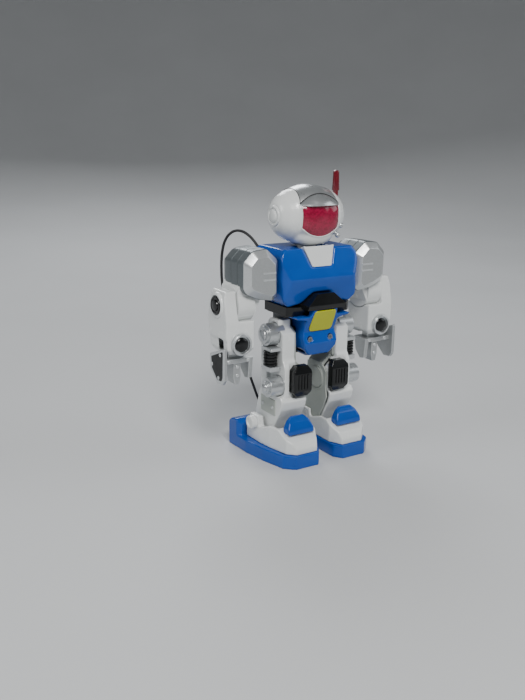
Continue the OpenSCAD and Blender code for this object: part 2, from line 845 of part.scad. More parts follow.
helmet_shell();
crest();
visor();
ear_discs();
cheek_studs();
antenna();
head_lamp();
neck_post();
chest_front();
chest_back();
neck_bib();
waist_belt();
pelvis_cover();
belly_panel();
gearbox_case();
motor();
pinion();
crank_gear();
body_screws();
on_right() shoulder_pad();  // right_shoulder_pad
on_right() upper_arm();  // right_upper_arm
on_right() elbow_cap();  // right_elbow_cap
on_right() forearm();  // right_forearm
on_right() wrist_ring();  // right_wrist_ring
on_right() wrist_cap();  // right_wrist_cap
on_right() hand();  // right_hand
shoulder_pad();  // left_shoulder_pad
upper_arm();  // left_upper_arm
elbow_cap();  // left_elbow_cap
forearm();  // left_forearm
wrist_ring();  // left_wrist_ring
wrist_cap();  // left_wrist_cap
hand();  // left_hand
on_right() leg_shell();  // right_leg_shell
on_right() inner_cover();  // right_inner_cover
on_right() side_trim();  // right_side_trim
on_right() piston();  // right_piston
on_right() knee_pad();  // right_knee_pad
on_right() ankle_pin();  // right_ankle_pin
on_right() ankle_cover();  // right_ankle_cover
on_right() foot_shell();  // right_foot_shell
on_right() sole();  // right_sole
leg_shell();  // left_leg_shell
inner_cover();  // left_inner_cover
side_trim();  // left_side_trim
piston();  // left_piston
knee_pad();  // left_knee_pad
ankle_pin();  // left_ankle_pin
ankle_cover();  // left_ankle_cover
foot_shell();  // left_foot_shell
sole();  // left_sole
handset_top();
handset_base();
handset_lever();
battery_door();
batteries();
cord_relief();
cord_run();
cord_coil();
cord_tie();
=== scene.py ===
import json
import math

import bmesh
import bpy
from mathutils import Matrix, Vector
from mathutils.bvhtree import BVHTree


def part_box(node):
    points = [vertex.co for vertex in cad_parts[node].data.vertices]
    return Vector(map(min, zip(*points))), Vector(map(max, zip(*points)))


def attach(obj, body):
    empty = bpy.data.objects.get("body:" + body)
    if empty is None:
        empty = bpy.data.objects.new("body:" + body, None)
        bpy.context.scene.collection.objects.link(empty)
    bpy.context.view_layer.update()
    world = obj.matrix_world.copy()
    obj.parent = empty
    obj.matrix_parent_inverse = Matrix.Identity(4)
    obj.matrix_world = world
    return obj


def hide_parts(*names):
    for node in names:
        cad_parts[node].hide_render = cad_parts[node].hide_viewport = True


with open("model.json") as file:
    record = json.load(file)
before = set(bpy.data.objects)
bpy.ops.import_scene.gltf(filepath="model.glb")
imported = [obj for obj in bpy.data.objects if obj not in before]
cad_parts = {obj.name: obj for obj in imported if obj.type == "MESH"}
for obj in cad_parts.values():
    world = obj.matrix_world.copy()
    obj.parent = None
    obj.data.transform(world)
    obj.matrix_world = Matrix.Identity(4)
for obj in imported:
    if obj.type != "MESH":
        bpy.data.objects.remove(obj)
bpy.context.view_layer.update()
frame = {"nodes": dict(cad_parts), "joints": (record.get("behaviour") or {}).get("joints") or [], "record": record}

SIDES = (("right", -1), ("left", 1))
MM = 0.001  # pieces are sized in millimetres, and Blender works in metres
SLOT_OF = {part["node"]: part["material_slot"] for part in frame["record"]["subparts"]}
BODY_OF = {node: body for body, nodes in frame["record"]["behaviour"]["bodies"].items() for node in nodes}


# ---- camera ----

CAMERA_AIM = Vector((0, -0.022, 0.125))
CAMERA_DISTANCE = 0.713
CAMERA_AZIMUTH = math.radians(-32)
CAMERA_PITCH = math.radians(15.5)
CAMERA_ROLL = math.radians(0.8)
CAMERA_SLIDE = 0.0471  # sideways, so that the robot stands right of the middle
CAMERA_LIFT = 0.0269  # upwards, so that it stands a little above the middle
CAMERA_LENS = 40.83  # millimetres, on a 36 mm sensor


def make_camera():
    back = Vector((
        math.sin(CAMERA_AZIMUTH) * math.cos(CAMERA_PITCH),
        -math.cos(CAMERA_AZIMUTH) * math.cos(CAMERA_PITCH),
        math.sin(CAMERA_PITCH),
    ))
    right = (-back).cross(Vector((0, 0, 1))).normalized()
    up = right.cross(-back)
    data = bpy.data.cameras.new("camera")
    data.sensor_width = 36
    data.lens = CAMERA_LENS
    camera = bpy.data.objects.new("camera", data)
    place = CAMERA_AIM + CAMERA_DISTANCE * back - CAMERA_SLIDE * right - CAMERA_LIFT * up
    turn = Matrix((right, up, back)).transposed() @ Matrix.Rotation(CAMERA_ROLL, 3, "Z")
    camera.matrix_world = Matrix.Translation(place) @ turn.to_4x4()
    bpy.context.scene.collection.objects.link(camera)
    bpy.context.scene.camera = camera


# ---- materials ----

NOISE_LOW = 0.3  # most values of a noise texture lie between these two
NOISE_HIGH = 0.7
BUMP_HEIGHT = 0.0002
COAT_ROUGHNESS = 0.06
MATERIALS = {}


def noise(tree, place, scale, detail=3.0):
    texture = tree.nodes.new("ShaderNodeTexNoise")
    texture.inputs["Scale"].default_value = scale
    texture.inputs["Detail"].default_value = detail
    tree.links.new(place, texture.inputs["Vector"])
    return texture.outputs["Fac"]


def spread(tree, source, low, high):
    """A noise value stretched to run from low to high"""
    ranged = tree.nodes.new("ShaderNodeMapRange")
    ranged.inputs["From Min"].default_value = NOISE_LOW
    ranged.inputs["From Max"].default_value = NOISE_HIGH
    ranged.inputs["To Min"].default_value = low
    ranged.inputs["To Max"].default_value = high
    tree.links.new(source, ranged.inputs["Value"])
    return ranged.outputs["Result"]


def mixed(tree, factor, first, second):
    mix = tree.nodes.new("ShaderNodeMix")
    mix.data_type = "RGBA"
    mix.inputs["A"].default_value = (*first, 1)
    mix.inputs["B"].default_value = (*second, 1)
    tree.links.new(factor, mix.inputs["Factor"])
    return mix.outputs["Result"]


def finish_material(name, colours, rough, grain, coat=0.0, metal=0.0, cloud=35, glint_cells=0, rough_scale=160,
                    specular=0.5):
    """One moulded, painted or metal finish.

    colours are its two shades, rough its lowest and highest roughness, grain the scale and depth of its bump,
    cloud the scale of the drift between the shades, the cell scale that of a faceted pattern, if it has one, whose
    two shades are then painted reflections, and specular the strength of its gloss.
    """
    material = bpy.data.materials.new(name)
    material.use_nodes = True
    tree = material.node_tree
    shader = tree.nodes["Principled BSDF"]
    place = tree.nodes.new("ShaderNodeTexCoord").outputs["Object"]
    # A faceted pattern: its two shades are painted reflections of the facets
    if glint_cells:
        glint_facets = tree.nodes.new("ShaderNodeTexVoronoi")
        glint_facets.inputs["Scale"].default_value = glint_cells
        tree.links.new(place, glint_facets.inputs["Vector"])
        grey = tree.nodes.new("ShaderNodeSeparateColor")
        tree.links.new(glint_facets.outputs["Color"], grey.inputs["Color"])
        tone = spread(tree, grey.outputs["Red"], 0, 1)
    else:
        tone = spread(tree, noise(tree, place, cloud), 0, 1)
    tree.links.new(mixed(tree, tone, *colours), shader.inputs["Base Color"])
    tree.links.new(spread(tree, noise(tree, place, rough_scale, 5), *rough), shader.inputs["Roughness"])
    bump = tree.nodes.new("ShaderNodeBump")
    bump.inputs["Strength"].default_value = grain[1]
    bump.inputs["Distance"].default_value = BUMP_HEIGHT
    tree.links.new(noise(tree, place, grain[0], 4), bump.inputs["Height"])
    tree.links.new(bump.outputs["Normal"], shader.inputs["Normal"])
    shader.inputs["Metallic"].default_value = metal
    shader.inputs["Specular IOR Level"].default_value = specular
    shader.inputs["Coat Weight"].default_value = coat
    shader.inputs["Coat Roughness"].default_value = COAT_ROUGHNESS
    MATERIALS[name] = material
    return material


def make_materials():
    finish_material(
        "white_shell", ((0.75, 0.77, 0.765), (0.71, 0.73, 0.725)), (0.20, 0.29), (900, 0.03), coat=0.4)
    finish_material(
        "blue_shell", ((0.000, 0.074, 0.40), (0.000, 0.062, 0.35)), (0.13, 0.20), (700, 0.03), coat=0.2,
        specular=0.35)
    finish_material(
        "silver_trim", ((0.60, 0.62, 0.63), (0.56, 0.58, 0.59)), (0.27, 0.30), (2600, 0.01), coat=0.2,
        metal=0.8, cloud=400, rough_scale=300)
    # The pads' darkest grey; on their sides it stands for painted shade
    finish_material(
        "grey_pad", ((0.150, 0.172, 0.182), (0.128, 0.148, 0.157)), (0.34, 0.42), (2200, 0.04), coat=0.15,
        metal=0.55, cloud=700)
    # Painted highlight: a bright copy of the pads' grey, for the light that their chamfers, ribs, rims and pins
    # catch
    finish_material(
        "pad_highlight_grey", ((0.66, 0.68, 0.69), (0.60, 0.62, 0.63)), (0.29, 0.35), (2200, 0.03), coat=0.2,
        metal=0.7, cloud=700, rough_scale=700)
    # Painted light: a lighter copy of the pads' grey, for their lit fronts and the claw hand's faces
    finish_material(
        "pad_lit_grey", ((0.44, 0.455, 0.46), (0.40, 0.415, 0.42)), (0.35, 0.42), (2200, 0.03), coat=0.15,
        metal=0.6, cloud=700, rough_scale=700)
    finish_material(
        "black_plastic", ((0.004, 0.0045, 0.005), (0.009, 0.0095, 0.010)), (0.13, 0.22), (1500, 0.05),
        coat=0.1, specular=0.35)
    # Painted reflection: the visor's two reds, spread over small facets, stand for light glinting off facets
    # behind the lens
    finish_material(
        "red_lens", ((0.30, 0.004, 0.040), (0.22, 0.003, 0.028)), (0.12, 0.20), (900, 0.03), coat=0.5,
        glint_cells=700, specular=0.4)
    finish_material(
        "lens_red_clear", ((0.20, 0.006, 0.016), (0.09, 0.003, 0.010)), (0.14, 0.24), (700, 0.08),
        coat=0.8)
    finish_material(
        "yellow_panel", ((0.47, 0.49, 0.014), (0.42, 0.44, 0.011)), (0.28, 0.38), (1300, 0.12), coat=0.15,
        specular=0.35)
    finish_material(
        "light_grey_cover", ((0.42, 0.45, 0.42), (0.35, 0.38, 0.35)), (0.38, 0.50), (1700, 0.25))
    finish_material(
        "dark_grey_case", ((0.045, 0.048, 0.052), (0.065, 0.068, 0.072)), (0.45, 0.62), (1900, 0.75))
    finish_material(
        "inner_plastic", ((0.72, 0.69, 0.58), (0.64, 0.61, 0.51)), (0.34, 0.48), (1200, 0.2))
    finish_material(
        "motor_steel", ((0.58, 0.59, 0.61), (0.46, 0.47, 0.49)), (0.22, 0.38), (1800, 0.15), metal=1.0)
    finish_material(
        "screw_steel", ((0.34, 0.34, 0.36), (0.22, 0.22, 0.24)), (0.28, 0.42), (2500, 0.2), metal=1.0)
    finish_material(
        "pinion_brass", ((0.72, 0.55, 0.24), (0.58, 0.43, 0.18)), (0.22, 0.36), (2000, 0.15), metal=1.0)
    finish_material(
        "battery_jacket", ((0.03, 0.22, 0.10), (0.02, 0.16, 0.07)), (0.25, 0.36), (900, 0.1), coat=0.4)
    finish_material(
        "cord_rubber", ((0.010, 0.010, 0.011), (0.018, 0.018, 0.019)), (0.42, 0.58), (2400, 0.4))
    # Dark for the crest's seam and the claw's face, and painted shade in the brow's groove and the back's sound
    # slots
    finish_material(
        "seam_and_shade_dark", ((0.010, 0.011, 0.012), (0.020, 0.021, 0.022)), (0.55, 0.70), (1500, 0.2))


make_materials()


# ---- building pieces: places, sizes and radii are in millimetres, apart from a tube's ----

SAME_POINT = 1e-6  # CAD corners that are closer are one
FLAT_ANGLE = math.radians(0.6)  # CAD faces that bend less are one flat face
SOFT_FLAT_ANGLE = math.radians(0.7)


def new_object(name, mesh):
    piece = bpy.data.objects.new(name, mesh)
    bpy.context.scene.collection.objects.link(piece)
    return piece


def from_bmesh(name, bm):
    mesh = bpy.data.meshes.new(name)
    bm.to_mesh(mesh)
    bm.free()
    return new_object(name, mesh)


def shade(piece, sharp_degrees=40, weighted=True):
    """Smooth shading that keeps the edges sharper than the given angle"""
    for polygon in piece.data.polygons:
        polygon.use_smooth = True
    piece.data.set_sharp_from_angle(angle=math.radians(sharp_degrees))
    if weighted:
        normals = piece.modifiers.new("weighted_normals", "WEIGHTED_NORMAL")
        normals.keep_sharp = True
    return piece


def dress(piece, slot, body, material=None):
    """Gives a piece its material, that of its slot unless another is named, and the body that it rides on"""
    if not piece.data.materials:
        piece.data.materials.append(MATERIALS[material or slot])
    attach(piece, body)
    return piece


def cad_bmesh(node):
    """A copy of a CAD node's mesh with its flat faces whole again"""
    bm = bmesh.new()
    bm.from_mesh(frame["nodes"][node].data)
    bmesh.ops.remove_doubles(bm, verts=bm.verts, dist=SAME_POINT)
    bmesh.ops.dissolve_limit(bm, angle_limit=FLAT_ANGLE, verts=bm.verts, edges=bm.edges)
    return bm


def bevel_sharp(bm, width, degrees=24, segments=2, material=-1):
    """Rounds every outward edge that is sharper than the given angle"""
    edges = [
        edge for edge in bm.edges
        if edge.is_manifold and edge.is_convex and edge.calc_face_angle() > math.radians(degrees)
    ]
    bmesh.ops.bevel(
        bm, geom=edges, offset=width, offset_type="OFFSET", segments=segments, profile=0.5, affect="EDGES",
        clamp_overlap=True, material=material)


def crisp(node, width, segments=2, edge_material=None):
    """A moulded piece with small rounded edges, standing for its CAD node"""
    bm = cad_bmesh(node)
    for face in bm.faces:
        face.material_index = 0
    bevel_sharp(bm, width * MM, segments=segments, material=1 if edge_material else -1)
    piece = from_bmesh(node + "_piece", bm)
    piece.data.materials.append(MATERIALS[SLOT_OF[node]])
    if edge_material:
        piece.data.materials.append(MATERIALS[edge_material])
    shade(piece)
    dress(piece, SLOT_OF[node], BODY_OF[node])
    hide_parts(node)
    return piece


def finished_mesh(thing):
    """The mesh that an object's curve or modifiers make"""
    graph = bpy.context.evaluated_depsgraph_get()
    return bpy.data.meshes.new_from_object(thing.evaluated_get(graph))


def applied(piece):
    """Replaces a piece's mesh by what its modifiers make of it"""
    mesh = finished_mesh(piece)
    piece.modifiers.clear()
    piece.data = mesh
    return piece


def blend_edges(piece, voxel, rounds):
    """Adds the modifiers that join a form into one skin and blend its edges round"""
    remesh = piece.modifiers.new("remesh", "REMESH")
    remesh.mode = "VOXEL"
    remesh.voxel_size = voxel * MM
    smooth = piece.modifiers.new("smooth", "SMOOTH")
    smooth.factor = 0.5
    smooth.iterations = rounds
    return piece


def soft(node, voxel, rounds):
    """A moulded shell with all its edges blended round, standing for its CAD node"""
    piece = new_object(node + "_piece", frame["nodes"][node].data.copy())
    blend_edges(piece, voxel, rounds)
    flats = piece.modifiers.new("flats", "DECIMATE")
    flats.decimate_type = "DISSOLVE"
    flats.angle_limit = SOFT_FLAT_ANGLE
    applied(piece)
    piece.data.materials.clear()
    piece.data.materials.append(MATERIALS[SLOT_OF[node]])
    shade(piece, 60)
    dress(piece, SLOT_OF[node], BODY_OF[node])
    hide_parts(node)
    return piece


def block(name, low, high, slot, body, round_edge=0.3, material=None):
    """A small raised bar or plate between two corners, its edges rounded"""
    bm = bmesh.new()
    bmesh.ops.create_cube(bm, size=1)
    low = Vector(low) * MM
    high = Vector(high) * MM
    for vert in bm.verts:
        vert.co = Vector((low[i] + (vert.co[i] + 0.5) * (high[i] - low[i]) for i in range(3)))
    bevel_sharp(bm, round_edge * MM, segments=3)
    return dress(shade(from_bmesh(name, bm)), slot, body, material)


def rounded(points, radius, steps):
    """A closed outline with each corner turned into a short arc"""
    line = []
    for before, corner, after in zip(points[-1:] + points[:-1], points, points[1:] + points[:1]):
        start = corner + (before - corner).normalized() * min(radius, (before - corner).length * 0.4)
        end = corner + (after - corner).normalized() * min(radius, (after - corner).length * 0.4)
        for step in range(steps + 1):
            share = step / steps
            line.append((1 - share) ** 2 * start + 2 * share * (1 - share) * corner + share ** 2 * end)
    return line


def bridge(bm, first, second):
    """Makes the faces between two rings of points, either of which may be a single point"""
    steps = max(len(first), len(second))
    faces = []
    for step in range(steps):
        after = (step + 1) % steps
        corners = [first[step % len(first)], first[after % len(first)]]
        corners += [second[after % len(second)], second[step % len(second)]]
        faces.append(bm.faces.new(list(dict.fromkeys(corners))))
    return faces


def lathe(name, start, axis, profile, slot, body, steps=64, material=None):
    """A turned piece: profile is (distance along the axis, radius), from start; radius 0 closes an end"""
    axis = Vector(axis).normalized()
    side = axis.orthogonal().normalized()
    up = axis.cross(side)
    bm = bmesh.new()
    rings = []
    for along, radius in profile:
        centre = (Vector(start) + along * axis) * MM
        if radius == 0:
            rings.append([bm.verts.new(centre)])
            continue
        rings.append([
            bm.verts.new(centre + radius * MM * (math.cos(angle) * side + math.sin(angle) * up))
            for angle in (2 * math.pi * step / steps for step in range(steps))
        ])
    for first, second in zip(rings, rings[1:]):
        bridge(bm, first, second)
    bmesh.ops.recalc_face_normals(bm, faces=bm.faces)
    return dress(shade(from_bmesh(name, bm), 38), slot, body, material)


def tube(name, points, radius, slot, body, material=None, closed=False):
    """A round bead along a line, as a mesh; its points and radius are in metres"""
    data = bpy.data.curves.new(name, "CURVE")
    data.dimensions = "3D"
    data.bevel_depth = radius
    data.bevel_resolution = 3
    data.use_fill_caps = True
    spline = data.splines.new("POLY")
    spline.points.add(len(points) - 1)
    for spot, point in zip(spline.points, points):
        spot.co = (*point, 1)
    spline.use_cyclic_u = closed
    line = bpy.data.objects.new(name + "_line", data)
    bpy.context.scene.collection.objects.link(line)
    mesh = finished_mesh(line)
    bpy.data.objects.remove(line)
    return dress(shade(new_object(name, mesh), 60, weighted=False), slot, body, material)


def centre_of(node):
    """A node's centre, lowest corner and highest corner"""
    low, high = (Vector(corner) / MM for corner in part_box(node))
    return (low + high) / 2, low, high


def span_of(node):
    """A side node's centre, and how far its inner and outer ends are from the middle plane"""
    centre, low, high = centre_of(node)
    inner, outer = sorted((abs(low[0]), abs(high[0])))
    return centre, inner, outer


def paint(node):
    """Gives its finish to a CAD node that keeps its own mesh"""
    materials = frame["nodes"][node].data.materials
    materials.clear()
    materials.append(MATERIALS[SLOT_OF[node]])


# ---- cord ----

CORD_DIAMETER = 0.0026
COIL_CENTRE = Vector((29, 78, 0)) * MM
COIL_RADIUS = 0.015
COIL_START = math.radians(253)
COIL_END = math.radians(330)
COIL_POINTS_A_TURN = 18
COIL_COLUMN_STEP = 1.02 * CORD_DIAMETER
COIL_LAYER_STEP = 0.98 * CORD_DIAMETER
COIL_FLOOR_GAP = 0.00008
COIL_STEP_SHARE = 0.2  # the part of a turn in which it steps to its place in the bundle
RELIEF_COLLAR = 2.2  # in millimetres
RELIEF_RIBS = 4

# From the strain relief on the back to the coil, in millimetres, as the CAD tube runs
RUN_ROUTE = [
    (-28, 27, 184), (-28.6, 32.5, 187.5), (-30.4, 37.5, 192.5), (-33.4, 42.5, 197), (-37.2, 47.5, 199.6),
    (-41.2, 52, 199.4), (-44.8, 56, 196), (-47.4, 59.2, 190), (-48.8, 61.3, 182), (-49.4, 62.4, 172),
    (-49.2, 63, 161), (-48.2, 63.4, 149), (-46.2, 63.5, 137), (-43.4, 63.4, 125), (-39.8, 63.1, 113),
    (-35.6, 62.9, 101), (-31, 62.8, 89), (-26.2, 62.8, 77), (-21.4, 62.9, 65), (-16.8, 63, 53),
    (-12.2, 63.1, 41), (-7.6, 63.2, 29.5), (-2.4, 63.3, 19), (3.4, 63.4, 10.6), (9.6, 63.4, 5),
    (15.6, 63.2, 2.2), (20.4, 63, 1.4),
]
# From the coil to the handset's gland
TAIL_ROUTE = [
    (45.4, 74.6, 1.7), (47.4, 77, 2.6), (49.6, 79.4, 4.2), (51.7, 81.9, 5.6), (53.8, 85.1, 6),
    (55.9, 88.5, 6),
]
# Where each turn lies in the bundle: columns out from the middle one, and layers up
COIL_TURNS = [(0, 0), (-1, 0), (-1, 1), (-1, 2), (0, 2), (0, 1), (1, 1), (1, 0)]


def coil_points():
    """The coil's line: each turn keeps its place in the bundle, and steps to the next in its first part"""
    points = []
    whole_turns = len(COIL_TURNS) - 1
    last_part = (COIL_END - COIL_START) / (2 * math.pi)
    count = int((whole_turns + last_part) * COIL_POINTS_A_TURN)
    for index in range(count + 1):
        turn = (whole_turns + last_part) * index / count
        now = min(int(turn), whole_turns)
        before = COIL_TURNS[max(now - 1, 0)]
        share = min((turn - now) / COIL_STEP_SHARE, 1)
        share = share * share * (3 - 2 * share)
        column, layer = (a + share * (b - a) for a, b in zip(before, COIL_TURNS[now]))
        angle = COIL_START + 2 * math.pi * turn
        radius = COIL_RADIUS + column * COIL_COLUMN_STEP
        height = CORD_DIAMETER / 2 + layer * COIL_LAYER_STEP + COIL_FLOOR_GAP
        points.append(COIL_CENTRE + Vector((radius * math.cos(angle), radius * math.sin(angle), height)))
    return points


def make_relief():
    """The ribbed, tapered strain relief on the upper back"""
    centre, low, high = centre_of("cord_relief")
    length = high[1] - low[1]
    profile = [(0, 0), (0, 3), (RELIEF_COLLAR, 3)]
    pitch = (length - RELIEF_COLLAR) / RELIEF_RIBS
    for rib in range(RELIEF_RIBS):
        start = RELIEF_COLLAR + rib * pitch
        reach = 2.8 - 0.3 * rib
        profile += [(start + 0.1 * pitch, reach - 0.5), (start + 0.3 * pitch, reach - 0.5)]
        profile += [(start + 0.4 * pitch, reach), (start + 0.9 * pitch, reach)]
    profile += [(length, 1.7), (length, 0)]
    relief = lathe(
        "cord_relief_piece", (centre[0], low[1], centre[2]), (0, 1, 0), profile, "cord_rubber", "torso", 40)
    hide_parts("cord_relief")
    return relief


def make_cord():
    points = [Vector(point) * MM for point in RUN_ROUTE]
    points += coil_points()
    points += [Vector(point) * MM for point in TAIL_ROUTE]
    data = bpy.data.curves.new("cord", "CURVE")
    data.dimensions = "3D"
    data.bevel_depth = CORD_DIAMETER / 2
    data.bevel_resolution = 4
    data.resolution_u = 6
    data.use_fill_caps = True
    spline = data.splines.new("BEZIER")
    spline.bezier_points.add(len(points) - 1)
    for spot, point in zip(spline.bezier_points, points):
        spot.co = point
        spot.handle_left_type = "AUTO"
        spot.handle_right_type = "AUTO"
    cord = new_object("cord", data)
    dress(cord, "cord_rubber", "torso")
    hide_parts("cord_run", "cord_coil")
    make_relief()
    crisp("cord_tie", 0.2)


# ---- head ----

# In millimetres
EAR_CENTRE = (-3, 218)  # y and z
EAR_RINGS = ((22, 21.6), (28.6, 17.4), (32.4, 13), (33.9, 10.4))  # how far out each ring is, and its radius
HEAD_DOME = ((0, -3, 219.5), (28.5, 25.2, 24.9))  # centre and radii
HEAD_CHIN = ((0, -5.5, 204), (22, 20, 12.6))
HEAD_FACE = ((0, -8.5, 217), (22, 19.2, 15))  # squarer than the dome, behind the visor
HEAD_POWER = 2.15  # above 2, a little squarer than an ellipsoid
HEAD_SHELL = 0.7  # how far the core lies inside the dome
LOWER_STUD = Vector((22.6, -20, 200.5))  # its centre
LOWER_STUD_ROOT = Vector((21.45, -16.9, 202.9))  # just inside the helmet's cheek
# In metres
VISOR_HALF = 0.0193
VISOR_TOP = 0.2277
VISOR_BOTTOM = 0.2008
VISOR_CORNER_LIFT = 0.0082  # how far its lower corners are above its lowest point
BROW_HALF = 0.0203
BROW_RISE = 0.0082
BROW_ENDS = 0.0012
SEAM_GAP = 0.0004
SEAM_LIFT = Vector((0, -0.0004, 0))
PLATE_THICKNESS = 0.0012
CREST_SIDE_CUT = Vector((0.0198, 0, 0.229))  # a point on the crest's left side
CREST_FRONT_CUT = Vector((0, -0.027, 0.2285))


def visor_low(x):
    return VISOR_BOTTOM + VISOR_CORNER_LIFT * abs(x / VISOR_HALF) ** 2.2


def visor_high(x):
    return VISOR_TOP


def brow_low(x):
    return VISOR_TOP + SEAM_GAP


def brow_high(x):
    return VISOR_TOP + BROW_ENDS + BROW_RISE * (1 - (x / BROW_HALF) ** 2)


def ball_points(centre, radii, power, steps=40):
    """Points all over an ellipsoid; above 2, the power squares it up"""
    points = []
    for i in range(1, steps):
        tilt = math.pi * i / steps
        for k in range(2 * steps):
            turn = math.pi * k / steps
            flat = math.sin(tilt)
            way = Vector((flat * math.cos(turn), flat * math.sin(turn), math.cos(tilt)))
            reach = sum(abs(part) ** power for part in way) ** (-1 / power)
            points.append(Vector(c + w * r * reach for c, w, r in zip(centre, way, radii)) * MM)
    return points


def add_hull(bm, points):
    """Adds the smallest convex form round the points"""
    verts = [bm.verts.new(point) for point in points]
    hull = bmesh.ops.convex_hull(bm, input=verts)
    inside = hull["geom_interior"] + hull["geom_unused"]
    spare = {item for item in inside if isinstance(item, bmesh.types.BMVert)}
    bmesh.ops.delete(bm, geom=list(spare), context="VERTS")


def head_form():
    """The helmet's smooth outer form: dome, face and chin, widened to an ear disc on each side"""
    bm = bmesh.new()
    dome = ball_points(*HEAD_DOME, HEAD_POWER)
    ear_y, ear_z = EAR_CENTRE
    ears = [
        Vector((sign * out, ear_y + radius * math.cos(turn), ear_z + radius * math.sin(turn))) * MM
        for sign in (-1, 1) for out, radius in EAR_RINGS for turn in (math.pi * k / 24 for k in range(48))
    ]
    add_hull(bm, dome + ears)
    centre, radii = HEAD_DOME
    core = ball_points(centre, [radius - HEAD_SHELL for radius in radii], HEAD_POWER)
    add_hull(bm, core + ball_points(*HEAD_FACE, 4.5))
    add_hull(bm, ball_points(*HEAD_CHIN, 2.6) + ball_points(*HEAD_FACE, 3.0))
    bmesh.ops.recalc_face_normals(bm, faces=bm.faces)
    return applied(blend_edges(from_bmesh("helmet_shell_piece", bm), 0.8, 16))


def on_surface(tree, x, z):
    """The point on the front of the head at x and z"""
    hit = tree.ray_cast(Vector((x, -0.08, z)), Vector((0, 1, 0)))[0]
    return hit if hit else Vector((x, 0, z))


def front_strip(name, tree, half_width, low, high, crown, slot, steps=48, rows=10):
    """A crowned plate on the front of the head, between two edges given as functions of x.

    crown says how far it stands proud, from its share of the way up and across.
    """
    bm = bmesh.new()
    sheets = []
    for layer in ("front", "back"):
        grid = []
        for i in range(steps + 1):
            x = half_width * (2 * i / steps - 1)
            column = []
            for j in range(rows + 1):
                up = j / rows
                point = on_surface(tree, x, low(x) + (high(x) - low(x)) * up)
                rise = -crown(up, x / half_width) if layer == "front" else PLATE_THICKNESS
                column.append(bm.verts.new(point + Vector((0, rise, 0))))
            grid.append(column)
        sheets.append(grid)
    front, back = sheets
    for grid in sheets:
        for i in range(steps):
            for j in range(rows):
                bm.faces.new([grid[i][j], grid[i + 1][j], grid[i + 1][j + 1], grid[i][j + 1]])
    for i in range(steps):
        bm.faces.new([front[i][0], front[i + 1][0], back[i + 1][0], back[i][0]])
        bm.faces.new([front[i][rows], back[i][rows], back[i + 1][rows], front[i + 1][rows]])
    for j in range(rows):
        bm.faces.new([front[0][j], back[0][j], back[0][j + 1], front[0][j + 1]])
        bm.faces.new([front[steps][j], front[steps][j + 1], back[steps][j + 1], back[steps][j]])
    bmesh.ops.recalc_face_normals(bm, faces=bm.faces)
    return dress(shade(from_bmesh(name, bm), 50, weighted=False), slot, "head")


def visor_crown(up, across):
    return 0.0002 + 0.0009 * math.sin(math.pi * up) ** 0.7 * (1 - across ** 4)


def brow_crown(up, across):
    return 0.0006 + 0.0038 * (1 - across ** 2) ** 0.5 * math.cos(math.pi / 2 * min(up, 0.999)) ** 0.7


def make_crest(form):
    """The silver plate over the top of the helmet, with a dark seam round it"""
    bm = bmesh.new()
    bm.from_mesh(form.data)
    x, y, z = CREST_SIDE_CUT
    cuts = [((sign * x, y, z), (sign, 0, 0.22)) for sign in (-1, 1)]
    cuts.append((CREST_FRONT_CUT, (0, -0.16, -1)))
    for point, normal in cuts:
        geometry = list(bm.verts) + list(bm.edges) + list(bm.faces)
        bmesh.ops.bisect_plane(bm, geom=geometry, plane_co=point, plane_no=normal, clear_outer=True)
    border = [edge for edge in bm.edges if edge.is_boundary]
    ways = {}
    for edge in border:
        for vert in edge.verts:
            ways.setdefault(vert, []).append(edge.other_vert(vert))
    first = border[0].verts[0]
    line = [first]
    before, now = None, first
    while True:
        after = next(vert for vert in ways[now] if vert != before)
        if after == first:
            break
        line.append(after)
        before, now = now, after
    seam = [vert.co + vert.normal * 0.00005 for vert in line[::2]]
    crest = from_bmesh("crest_piece", bm)
    plate = crest.modifiers.new("plate", "SOLIDIFY")
    plate.thickness = PLATE_THICKNESS
    plate.offset = -0.6
    dress(shade(applied(crest), 50, weighted=False), "silver_trim", "head")
    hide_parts("crest")
    tube("crest_seam", seam, 0.00033, "silver_trim", "head", "seam_and_shade_dark", closed=True)


def visor_outline():
    """The x and z of points round the visor: its bottom, right side, top and left side"""
    steps = 24
    rows = 10
    across = [VISOR_HALF * (2 * k / steps - 1) for k in range(steps + 1)]
    corner = visor_low(VISOR_HALF)
    line = [(x, visor_low(x)) for x in across]
    line += [(VISOR_HALF, corner + (VISOR_TOP - corner) * k / rows) for k in range(1, rows + 1)]
    line += [(-x, VISOR_TOP) for x in across[1:]]
    line += [(-VISOR_HALF, VISOR_TOP + (corner - VISOR_TOP) * k / rows) for k in range(1, rows)]
    return line


def make_head():
    """The helmet and all that is on it, and the neck post under it"""
    form = head_form()
    tree = BVHTree.FromPolygons(
        [vertex.co.copy() for vertex in form.data.vertices],
        [list(polygon.vertices) for polygon in form.data.polygons])
    dress(shade(form, 70, weighted=False), "white_shell", "head")
    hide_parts("helmet_shell")
    make_crest(form)
    visor = front_strip("visor_piece", tree, VISOR_HALF, visor_low, visor_high, visor_crown, "red_lens")
    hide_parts("visor")
    front_strip("brow_band", tree, BROW_HALF, brow_low, brow_high, brow_crown, "silver_trim")
    # A dark line of painted shade along the groove above the brow
    across = [BROW_HALF * (step / 24 - 1) for step in range(49)]
    tube(
        "brow_groove_shade", [on_surface(tree, x, brow_high(x) + SEAM_GAP) + SEAM_LIFT for x in across], 0.00042,
        "silver_trim", "head", "seam_and_shade_dark")
    rim = [on_surface(tree, x, z) + SEAM_LIFT / 2 for x, z in visor_outline()]
    tube("visor_rim", rim, 0.00055, "white_shell", "head", closed=True)
    for side, sign in SIDES:
        make_ear(side, sign)
    make_antenna()
    make_cheek_studs()
    crisp("neck_post", 0.3)


